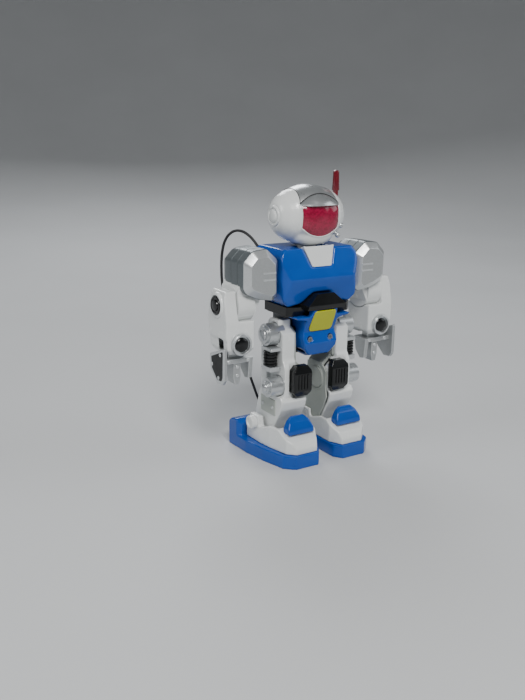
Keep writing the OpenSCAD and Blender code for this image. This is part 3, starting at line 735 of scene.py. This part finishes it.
def make_cheek_studs():
    """The two studs, the lower of which stands off the cheek on a tapered post"""
    crisp("cheek_studs", 0.1)
    way = LOWER_STUD - LOWER_STUD_ROOT
    reach = way.length
    profile = [(0, 0), (0, 2.1), (0.3 * reach, 1.8), (0.9 * reach, 1.2), (0.9 * reach, 0)]
    lathe("cheek_stud_post", LOWER_STUD_ROOT, way, profile, "silver_trim", "head", 24)


def make_ear(side, sign):
    """A dished disc with a raised ring and a domed middle, on the side of the helmet"""
    _, low, high = centre_of("ear_discs")
    start = (sign * (high[0] - 3.6), (low[1] + high[1]) / 2, (low[2] + high[2]) / 2)
    profile = [
        (-3, 0), (-3, 9.2), (0.2, 9.3), (1.0, 8.9), (1.5, 8.1), (1.5, 7.4), (0.9, 7.0), (0.5, 6.6),
        (0.5, 6.2), (1.6, 5.4), (2.2, 4.2), (2.5, 2.4), (2.6, 0),
    ]
    ear = lathe(side + "_ear_disc", start, (sign, 0, 0), profile, "white_shell", "head")
    if side == "right":
        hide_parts("ear_discs")


def make_antenna():
    centre, low, high = centre_of("antenna")
    height = high[2] - low[2]
    profile = [
        (0, 0), (0, 2.4), (11.9, 2.4), (12.1, 3), (12.6, 3.3), (height * 0.7, 3), (height - 1.6, 2.7),
        (height - 0.6, 2.4), (height - 0.1, 1.6), (height, 0),
    ]
    antenna = lathe(
        "antenna_piece", (centre[0], centre[1], low[2]), (0, 0, 1), profile, "red_lens", "head",
        material="lens_red_clear")
    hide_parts("antenna")


# ---- torso ----

BELLY_TOP = Vector((0, -38.0, 138.8))  # the pelvis cover's sloping front
BELLY_BOTTOM = Vector((0, -28.4, 117.5))


def slab(name, corners, place, up, radius, thick, slot, body, edge=0.6, facing=-1, material=None):
    """A flat plate: corners are (across, up its own plane) on its outer face.

    facing is -1 for a plate that faces the front, and 1 for one that faces the back.
    """
    across = Vector((1, 0, 0))
    inward = across.cross(up).normalized()
    if inward.y * facing > 0:
        inward = -inward
    bm = bmesh.new()
    outline = rounded([Vector(corner) for corner in corners], radius, 6)
    front = [bm.verts.new((place + x * across + z * up) * MM) for x, z in outline]
    back = [bm.verts.new((place + x * across + z * up + thick * inward) * MM) for x, z in outline]
    count = len(outline)
    bm.faces.new(front)
    bm.faces.new(list(reversed(back)))
    for k in range(count):
        bm.faces.new([front[k], back[k], back[(k + 1) % count], front[(k + 1) % count]])
    bmesh.ops.recalc_face_normals(bm, faces=bm.faces)
    bevel_sharp(bm, edge * MM, degrees=50, segments=3)
    return dress(shade(from_bmesh(name, bm), 50), slot, body, material)


def both_sides(half):
    return list(half) + [(-x, z) for x, z in reversed(half)]


def make_belly_panel():
    up = (BELLY_TOP - BELLY_BOTTOM).normalized()
    outward = Vector((0, -up.z, up.y))
    panel = slab(
        "belly_panel_piece", both_sides([(10.6, 0.4), (12.3, 3.0), (12.0, 14.0), (11.2, 22.2)]),
        BELLY_BOTTOM + 0.75 * outward, up, 2.6, 1.6, "yellow_panel", "torso")
    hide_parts("belly_panel")


def make_bib():
    """The white bib in the chest's notch, its top edge standing up in front of the chin"""
    bottom = Vector((0, -29.9, 175.6))
    up = (Vector((0, -23.9, 192.5)) - bottom).normalized()
    bib = slab(
        "neck_bib_piece", both_sides([(10.0, 0), (15.2, 15.6), (16.2, 18.8), (13.4, 18.2)]), bottom, up, 1.4,
        5.0, "white_shell", "torso", 0.9)
    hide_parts("neck_bib")


CHEST_SPLIT = -5  # the y of the seam between the chest's front and back
CHEST_SEAM = 0.12  # half the seam's width


def make_chest():
    """Front and back shells, rounded as one form and then parted along a fine seam"""
    bm = bmesh.new()
    for node in ("chest_front", "chest_back"):
        bm.from_mesh(frame["nodes"][node].data)
    whole = applied(blend_edges(from_bmesh("chest_whole", bm), 0.8, 22))
    for node, way in (("chest_front", 1), ("chest_back", -1)):
        bm = bmesh.new()
        bm.from_mesh(whole.data)
        geometry = list(bm.verts) + list(bm.edges) + list(bm.faces)
        cut = bmesh.ops.bisect_plane(
            bm, geom=geometry, plane_co=(0, (CHEST_SPLIT - way * CHEST_SEAM) * MM, 0), plane_no=(0, way, 0),
            clear_outer=True)
        edges = [item for item in cut["geom_cut"] if isinstance(item, bmesh.types.BMEdge)]
        bmesh.ops.triangle_fill(bm, edges=edges, use_beauty=True, normal=(0, way, 0))
        bmesh.ops.recalc_face_normals(bm, faces=bm.faces)
        piece = from_bmesh(node + "_piece", bm)
        dress(shade(piece, 50), "blue_shell", "torso")
        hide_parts(node)
    bpy.data.objects.remove(whole)


def box_corners(low_x, high_x, low_z, high_z):
    return [(low_x, low_z), (high_x, low_z), (high_x, high_z), (low_x, high_z)]


def small_screw(name, place, axis, radius, body):
    """A domed screw head, 1.2 mm high, with a round recess"""
    profile = [(0, 0), (0, radius), (0.5, radius), (0.9, radius * 0.8), (1.2, radius * 0.45)]
    profile += [(1.2, radius * 0.3), (0.7, radius * 0.25), (0.7, 0)]
    lathe(name, place, axis, profile, "screw_steel", body, 32)


def make_chest_back_details():
    """A raised frame with a row of sound slots on the back, each a dark bar of painted shade"""
    top = Vector((0, 24, 184))
    bottom = Vector((0, 26, 160))
    up = (top - bottom).normalized()
    outward = Vector((0, up.z, -up.y))
    slab(
        "back_frame", box_corners(-19, 19, -3.5, 19.5), bottom + 0.7 * outward, up, 3.0, 2.0, "blue_shell",
        "torso", facing=1)
    # Dark bars of painted shade stand for the openings of the slots
    for index in range(5):
        low = 1.0 + 3.4 * index
        slab(
            f"back_slot_shade_{index}", box_corners(-14, 14, low, low + 1.5), bottom + 0.82 * outward, up, 0.6, 1.0,
            "black_plastic", "torso", 0.1, 1, "seam_and_shade_dark")


def make_gearbox_details():
    """A cover plate with three ribs and four screws on the back of the gearbox"""
    bottom = Vector((0, 20.9, 103))
    slab(
        "gearbox_cover", box_corners(-14.5, 14.5, 0, 26), bottom, Vector((0, 0, 1)), 2.4, 1.6,
        "dark_grey_case", "torso", facing=1)
    for index, z in enumerate((110.5, 116.5, 122.5)):
        block(
            f"gearbox_rib_{index}", (-9.5, 20.5, z - 0.8), (9.5, 21.8, z + 0.8), "dark_grey_case", "torso",
            0.5)
    for index, (x, z) in enumerate(((-12, 105.5), (12, 105.5), (-12, 126.5), (12, 126.5))):
        small_screw(f"gearbox_screw_{index}", (x, 20.8, z), (0, 1, 0), 1.6, "torso")


def make_torso():
    make_chest()
    make_chest_back_details()
    make_gearbox_details()
    soft("pelvis_cover", 0.7, 6)
    make_bib()
    crisp("waist_belt", 0.6, 3)
    make_belly_panel()
    crisp("gearbox_case", 0.3)
    for node in ("motor", "pinion", "crank_gear", "body_screws", "head_lamp"):
        paint(node)


# ---- arms ----

def make_arm(side, sign):
    lower = side + "_lower_arm"
    make_pad(side, sign, side + "_arm")
    crisp(side + "_upper_arm", 1.2, 3)
    soft(side + "_forearm", 0.8, 10)
    make_elbow_cap(side, sign, lower)
    make_wrist(side, lower)
    make_wrist_plug(side, lower)
    make_hand(side, sign)


PAD_OUTLINE = (  # x outwards and z of the pad's front
    (41.6, 152.2), (46, 147.8), (61, 150.4), (72.4, 155.4), (76, 160), (76, 183), (67, 192), (53, 193.4),
    (41.6, 183.4),
)
PAD_LAYERS = (  # y, and how far the outline is drawn in
    (-27.5, 6.4), (-27.3, 5.9), (-22.4, 0.5), (-21.4, 0.0), (-13.2, 0.0), (-12.9, 0.9), (-12.2, 0.9),
    (-11.9, 0.1), (-2.4, 0.1), (-2.1, 1.0), (-1.4, 1.0), (-1.1, 0.3), (8.0, 0.5), (14.5, 3.2), (16.8, 6.0),
)
PAD_HIGHLIGHT_LAYERS = (0, 1, 8)  # the steps between layers that are painted bright, as painted highlights
PAD_MIDDLE = Vector((58.8, 170.5))  # the point that the outline is drawn in towards


def drawn_in(point, middle, inset):
    """An outline's point moved towards the middle"""
    out = point - middle
    return middle + out * (1 - inset / out.length)


def make_pad(side, sign, body):
    """A stack of moulded layers: a chamfered front, then two grooves round the sides"""
    outline = rounded([Vector(point) for point in PAD_OUTLINE], 2.2, 4)
    bm = bmesh.new()
    rings = []
    for y, inset in PAD_LAYERS:
        spots = [drawn_in(point, PAD_MIDDLE, inset) for point in outline]
        rings.append([bm.verts.new(Vector((sign * spot.x, y, spot.y)) * MM) for spot in spots])
    # Painted light: the listed steps take the bright grey of painted highlights, the other steps and the back the
    # darker grey of painted shade, and the front the lighter, lit grey
    for layer, (first, second) in enumerate(zip(rings, rings[1:])):
        for face in bridge(bm, first, second):
            face.material_index = 0 if layer in PAD_HIGHLIGHT_LAYERS else 1
    bm.faces.new(rings[0]).material_index = 2
    bm.faces.new(list(reversed(rings[-1]))).material_index = 1
    bmesh.ops.recalc_face_normals(bm, faces=bm.faces)
    pad = from_bmesh(side + "_shoulder_pad_piece", bm)
    for name in ("pad_highlight_grey", "grey_pad", "pad_lit_grey"):
        pad.data.materials.append(MATERIALS[name])
    dress(shade(pad, 24), "grey_pad", body)
    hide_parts(side + "_shoulder_pad")
    # The ribs are painted in the bright grey of painted highlights
    for index, z in enumerate((166.5, 172.2)):
        ends = sorted((sign * 46.2, sign * 59))
        block(
            f"{side}_pad_rib_{index}", (ends[0], -28, z), (ends[1], -26.2, z + 1.9), "grey_pad", body, 0.5,
            "pad_highlight_grey")


def make_elbow_cap(side, sign, body):
    """A black cap with a raised button, inside a raised white ring"""
    centre, inner, outer = span_of(side + "_elbow_cap")
    length = outer - inner
    head = length - 2.6
    profile = [
        (0, 0), (0, 3), (head, 3), (head, 8), (length - 1.2, 8), (length - 0.8, 7.7), (length - 0.8, 6.4),
        (length - 1.3, 6.1), (length - 1.3, 5), (length - 0.3, 4.6), (length, 3.4), (length, 0),
    ]
    ring = [(-1.2, 8.6), (-1.2, 11.6), (0.2, 11.4), (0.9, 10.8), (1.2, 10), (1.2, 9), (0.8, 8.6), (-1.2, 8.6)]
    lathe(
        side + "_elbow_boss", (sign * (inner + head), centre[1], centre[2]), (sign, 0, 0), ring,
        "white_shell", body)
    cap = lathe(
        side + "_elbow_cap_piece", (sign * inner, centre[1], centre[2]), (sign, 0, 0), profile,
        "black_plastic", body)
    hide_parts(side + "_elbow_cap")


def make_wrist(side, body):
    """A silver ring round a domed black cap"""
    centre, low, high = centre_of(side + "_wrist_ring")
    front = low[1]
    deep = high[1] - front
    ring_profile = [
        (deep, 3.4), (deep, 9.5), (0.7, 9.5), (0.2, 9.2), (0, 8.7), (0, 8), (0.3, 7.6), (2.5, 7.3),
        (2.5, 3.4), (deep, 3.4),
    ]
    ring = lathe(
        side + "_wrist_ring_piece", (centre[0], front, centre[2]), (0, 1, 0), ring_profile, "silver_trim",
        body)
    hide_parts(side + "_wrist_ring")
    _, cap_low, cap_high = centre_of(side + "_wrist_cap")
    length = cap_high[1] - cap_low[1]
    cap_profile = [
        (0, 0), (0.1, 2.4), (0.4, 4.3), (1, 5.7), (1.6, 6.3), (2.7, 6.4), (2.7, 3.4), (length, 3.4),
        (length, 0),
    ]
    cap = lathe(
        side + "_wrist_cap_piece", (centre[0], cap_low[1], centre[2]), (0, 1, 0), cap_profile,
        "black_plastic", body)
    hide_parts(side + "_wrist_cap")


def make_wrist_plug(side, body):
    """The white plug that closes the wrist's bore at the back"""
    centre = centre_of(side + "_wrist_ring")[0]
    profile = [(0, 0), (0, 3.3), (5.8, 3.3), (6.2, 3), (6.2, 1.9), (5.5, 1.6), (5.5, 0)]
    lathe(side + "_wrist_plug", (centre[0], 4.6, centre[2]), (0, 1, 0), profile, "white_shell", body, 40)


CLAW_PINS = ((-16.5, 104.5), (-13.5, 83.5), (-2, 93.5))  # y and z on the outer plate
FINGER_PINS = (  # on the faces to the front
    (67.5, -17, 97), (86.5, -17, 97), (76.5, -14.5, 91), (76.5, -14.5, 83),
)
CLAW_RIM = (  # y and z of its corners
    (-23, 110), (-21.5, 110.8), (2, 102), (2.6, 100.6), (1, 88), (-11, 78), (-20, 78.6), (-23, 83),
)
CLAW_MIDDLE = Vector((-11, 95))


def make_hand(side, sign):
    """The claw hand, with the bright rim, dark face and pins of its outer plate"""
    body = side + "_grip"
    # Painted light: the hand's faces take the pads' lighter, lit grey, and its rounded edges and pins the bright
    # grey of painted highlights
    hand = crisp(side + "_hand", 0.6, 2, "pad_highlight_grey")
    hand.data.materials[0] = MATERIALS["pad_lit_grey"]
    outer = span_of(side + "_hand")[2]
    make_claw_face(side, sign, outer)
    pins = [((outer - 0.4, y, z), (sign, 0, 0)) for y, z in CLAW_PINS]
    pins += [((x, y + 0.3, z), (0, -1, 0)) for x, y, z in FINGER_PINS]
    profile = [(0, 0), (0, 1.7), (0.8, 1.7), (1.1, 1.4), (1.1, 0.7), (0.8, 0.5), (0.8, 0)]
    for index, (place, axis) in enumerate(pins):
        lathe(
            f"{side}_hand_pin_{index}", (sign * place[0], place[1], place[2]), axis, profile, "grey_pad",
            body, 32, "pad_highlight_grey")


def make_claw_face(side, sign, outer):
    """A dark face inside a bright rim, on the outer side of the claw's plate"""
    body = side + "_grip"
    outline = rounded([Vector(point) for point in CLAW_RIM], 1.6, 4)
    # The rim is painted in the bright grey of painted highlights
    for name, inset, low, high, material in (
        ("claw_rim", 0.3, -1.2, 0.1, "pad_highlight_grey"),
        ("claw_face", 3.2, -1.2, 0.3, "seam_and_shade_dark"),
    ):
        bm = bmesh.new()
        rings = []
        for reach, more in ((low, 0.0), (high - 0.2, 0.0), (high, 0.25)):
            spots = [drawn_in(point, CLAW_MIDDLE, inset + more) for point in outline]
            x = sign * (outer + reach)
            rings.append([bm.verts.new(Vector((x, spot.x, spot.y)) * MM) for spot in spots])
        for first, second in zip(rings, rings[1:]):
            bridge(bm, first, second)
        bm.faces.new(rings[0])
        bm.faces.new(rings[-1])
        bmesh.ops.recalc_face_normals(bm, faces=bm.faces)
        dress(shade(from_bmesh(f"{side}_{name}", bm), 40), "grey_pad", body, material)


# ---- legs ----

def make_leg(side, sign):
    leg = side + "_leg"
    soft(side + "_leg_shell", 0.8, 9)
    crisp(side + "_inner_cover", 0.4)
    crisp(side + "_side_trim", 0.6, 3)
    crisp(side + "_knee_pad", 0.9, 3)
    make_piston(side, leg)
    make_side_plate(side, sign, leg)
    make_knee_ribs(side, sign, leg)
    make_cover_ribs(side, sign, leg)
    make_barrel_ends(side, sign, leg)
    make_leg_back(side, sign, leg)
    make_foot(side, sign)
    make_heel_ribs(side, sign, side + "_foot")


def make_leg_back(side, sign, body):
    """Raised panels on the back of the thigh and the shin"""
    for name, place, up, corners, ribs in (
        ("thigh_back", Vector((29.2, 4.7, 93)), Vector((0, 0, 1)), box_corners(-4.4, 4.4, 0, 24), 0),
        ("shin_back", Vector((26.5, 14.4, 36.5)), Vector((0, -7, 24)), box_corners(-9.5, 9.5, 0, 19), 3),
    ):
        place.x *= sign
        up.normalize()
        slab(f"{side}_{name}", corners, place, up, 2.0, 2.4, "white_shell", body, 0.5, facing=1)
        outward = Vector((0, up.z, -up.y))
        for index in range(ribs):
            low = 4 + 4.6 * index
            slab(
                f"{side}_{name}_rib_{index}", box_corners(-6.5, 6.5, low, low + 1.6), place + 0.6 * outward,
                up, 0.6, 1.4, "white_shell", body, 0.4, facing=1)


def make_heel_ribs(side, sign, body):
    """Upright grip ribs on the back of the heel"""
    for index in range(6):
        middle = sign * (24 + 4.4 * index)
        block(
            f"{side}_heel_rib_{index}", (middle - 0.9, 40.5, 3), (middle + 0.9, 42.6, 12), "blue_shell", body,
            0.5)


PISTON_RIB = (  # share of the way along one rib, and radius
    (0.12, 5.2), (0.26, 6.2), (0.42, 6.4), (0.62, 6.4), (0.78, 6.2), (0.92, 5.2),
)


def make_piston(side, body):
    """The ribbed black piston between the thigh's barrels"""
    centre, low, high = centre_of(side + "_piston")
    length = high[2] - low[2]
    ribs = 5
    pitch = length / ribs
    profile = [(0, 0), (0, 5.2)]
    for rib in range(ribs):
        profile += [((rib + share) * pitch, radius) for share, radius in PISTON_RIB]
    profile += [(length, 5.2), (length, 0)]
    piston = lathe(
        side + "_piston_piece", (centre[0], centre[1], low[2]), (0, 0, 1), profile, "black_plastic", body)
    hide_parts(side + "_piston")


def make_side_plate(side, sign, body):
    """The grey plate on the shin's outer face, with two small bolts"""
    face = 40
    ends = sorted((sign * (face - 1), sign * (face + 0.7)))
    block(side + "_shin_plate", (ends[0], -20.5, 40.5), (ends[1], 3.5, 55.5), "light_grey_cover", body, 0.5)
    profile = [(0, 0), (0, 1.7), (1.3, 1.7), (1.6, 1.3), (1.6, 0.7), (1.2, 0.5), (1.2, 0)]
    for index, y in enumerate((-16.5, -0.5)):
        lathe(
            f"{side}_shin_bolt_{index}", (sign * face, y, 48), (sign, 0, 0), profile, "silver_trim", body, 32)


def make_knee_ribs(side, sign, body):
    """Four upright ribs on the front of the knee pad"""
    _, low, high = centre_of(side + "_knee_pad")
    front = low[1]
    for index in range(4):
        middle = abs(low[0] + high[0]) / 2 + (index - 1.5) * 3.1
        ends = sorted((sign * (middle - 0.7), sign * (middle + 0.7)))
        block(
            f"{side}_knee_rib_{index}", (ends[0], front - 0.8, 67.5), (ends[1], front + 1, 80.8),
            "black_plastic", body)


def make_cover_ribs(side, sign, body):
    """Two curved ribs round the disc on the inner cover"""
    middle = Vector((sign * 11.2, -9, 68))
    angles = [math.radians(110 + 140 * step / 24) for step in range(25)]
    ways = [Vector((0, math.cos(angle), math.sin(angle))) for angle in angles]
    for index, radius in enumerate((10, 12.4)):
        points = [(middle + radius * way) * MM for way in ways]
        tube(f"{side}_cover_rib_{index}", points, 0.5 * MM, "light_grey_cover", body)


def make_barrel_ends(side, sign, body):
    """A domed bolt end on the hip and knee barrels"""
    hip_joint = next(joint for joint in frame["joints"] if joint["name"] == side + "_hip")
    hip = Vector(hip_joint["pos_m"]) / MM
    for name, x, y, z, radius in (("hip", 48, hip[1], hip[2], 5.2), ("knee", 51, -19, 69, 4.2)):
        turns = [math.radians(degrees) for degrees in range(0, 90, 10)]
        dome = [(0.4 + 2.6 * math.sin(turn), radius * math.cos(turn)) for turn in turns]
        dome.append((3, 0))
        lathe(
            f"{side}_{name}_bolt", (sign * (x - 0.4), y, z), (sign, 0, 0), [(0, 0), (0, radius)] + dome,
            "silver_trim", body, 48)


def make_foot(side, sign):
    foot = side + "_foot"
    soft(side + "_foot_shell", 0.6, 14)
    soft(side + "_sole", 0.8, 7)
    soft(side + "_ankle_cover", 0.6, 16)
    centre, inner, outer = span_of(side + "_ankle_pin")
    length = outer - inner
    profile = [
        (0, 0), (0, 2.5), (length - 5, 2.5), (length - 5, 6.4), (length - 0.8, 6.4), (length - 0.3, 6.1),
        (length, 5.5), (length, 4), (length - 0.9, 3.6), (length - 0.9, 0),
    ]
    pin = lathe(
        side + "_ankle_pin_piece", (sign * inner, centre[1], centre[2]), (sign, 0, 0), profile, "white_shell",
        foot)
    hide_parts(side + "_ankle_pin")


# ---- handset ----

def make_handset():
    for node, width in (("handset_top", 1.4), ("handset_base", 1), ("battery_door", 0.4)):
        crisp(node, width, 3)
    crisp("handset_lever", 0.6, 3)
    paint("batteries")


HANDSET_PLACE = Vector((75, 119, 0))
HANDSET_TURN = math.radians(-32)


def on_handset(name, low, high, slot, round_edge):
    """A block placed in the handset's own directions"""
    piece = block(name, low, high, slot, "torso", round_edge)
    piece.data.transform(Matrix.Translation(HANDSET_PLACE * MM) @ Matrix.Rotation(HANDSET_TURN, 4, "Z"))
    return piece


def make_handset_details():
    """Grip ridges on the handle and the wings, and a frame round the lever"""
    for index in range(6):
        middle = -30 + 4.2 * index
        top = 21.2 + 0.115 * (middle + 34)
        on_handset(
            f"handset_ridge_{index}", (-9, middle - 0.8, top - 1), (9, middle + 0.8, top), "dark_grey_case",
            0.5)
    for index, (low, high) in enumerate((
        ((-10.5, 0.2, 22.6), (-8.3, 21.8, 24.9)), ((8.3, 0.2, 22.6), (10.5, 21.8, 24.9)),
        ((-10.5, 0.2, 22.6), (10.5, 1.6, 24.9)), ((-10.5, 20.4, 22.6), (10.5, 21.8, 24.9)),
    )):
        on_handset(f"handset_frame_{index}", low, high, "dark_grey_case", 0.6)
    for side, sign in SIDES:
        for index in range(3):
            middle = sign * (17 + 3.6 * index)
            on_handset(
                f"handset_{side}_wing_rib_{index}", (middle - 0.7, 13, 23.2), (middle + 0.7, 29, 24.5),
                "dark_grey_case", 0.5)


# ---- studio ----

# In metres
STUDIO_RADIUS = 1.3
STUDIO_CURVE = 2.6
STUDIO_HEIGHT = 4.0
STUDIO_STEPS = 64
LIGHT_AIM = Vector((0, 0, 0.12))
LIGHTS = (  # name, place, size in metres, power in watts, tint
    ("key_light", (-0.45, -1.15, 1.35), 0.6, 26, (1.0, 0.99, 0.97)),
    ("fill_light", (1.4, -0.7, 0.8), 1.0, 6, (0.93, 0.97, 1.0)),
    ("rim_light", (0.5, 1.4, 1.2), 0.8, 14, (0.96, 0.98, 1.0)),
    ("side_light", (-1.5, 0.2, 0.9), 0.7, 7, (0.97, 0.99, 1.0)),
)


def make_floor():
    """A pale round floor that curves up into a wall"""
    profile = [(STUDIO_RADIUS * step / 6, 0.0) for step in range(1, 7)]
    for step in range(1, 13):
        angle = math.radians(90 * step / 12)
        across = STUDIO_RADIUS + STUDIO_CURVE * math.sin(angle)
        profile.append((across, STUDIO_CURVE * (1 - math.cos(angle))))
    profile.append((STUDIO_RADIUS + STUDIO_CURVE, STUDIO_HEIGHT))
    bm = bmesh.new()
    turns = [2 * math.pi * k / STUDIO_STEPS for k in range(STUDIO_STEPS)]
    rings = [[bm.verts.new((0, 0, 0))]]
    for across, height in profile:
        points = [(across * math.cos(turn), across * math.sin(turn), height) for turn in turns]
        rings.append([bm.verts.new(point) for point in points])
    for first, second in zip(rings, rings[1:]):
        bridge(bm, first, second)
    floor = shade(from_bmesh("studio_floor", bm), 60, weighted=False)
    floor.data.materials.append(finish_material(
        "studio_paper", ((0.60, 0.61, 0.62), (0.57, 0.58, 0.59)), (0.75, 0.85), (300, 0.05), cloud=3))


def make_lights():
    """Four soft lights and a dim, cool sky"""
    for name, place, size, power, tint in LIGHTS:
        data = bpy.data.lights.new(name, "AREA")
        data.energy = power
        data.size = size
        data.color = tint
        light = bpy.data.objects.new(name, data)
        light.location = place
        light.rotation_euler = (LIGHT_AIM - Vector(place)).to_track_quat("-Z", "Y").to_euler()
        bpy.context.scene.collection.objects.link(light)
    world = bpy.data.worlds.new("studio_world")
    world.use_nodes = True
    sky = world.node_tree.nodes["Background"]
    sky.inputs["Color"].default_value = (0.86, 0.91, 0.95, 1)
    sky.inputs["Strength"].default_value = 0.12
    bpy.context.scene.world = world


make_camera()
make_cord()
make_head()
make_torso()
for side_name, side_sign in SIDES:
    make_arm(side_name, side_sign)
    make_leg(side_name, side_sign)
make_handset()
make_handset_details()
make_floor()
make_lights()
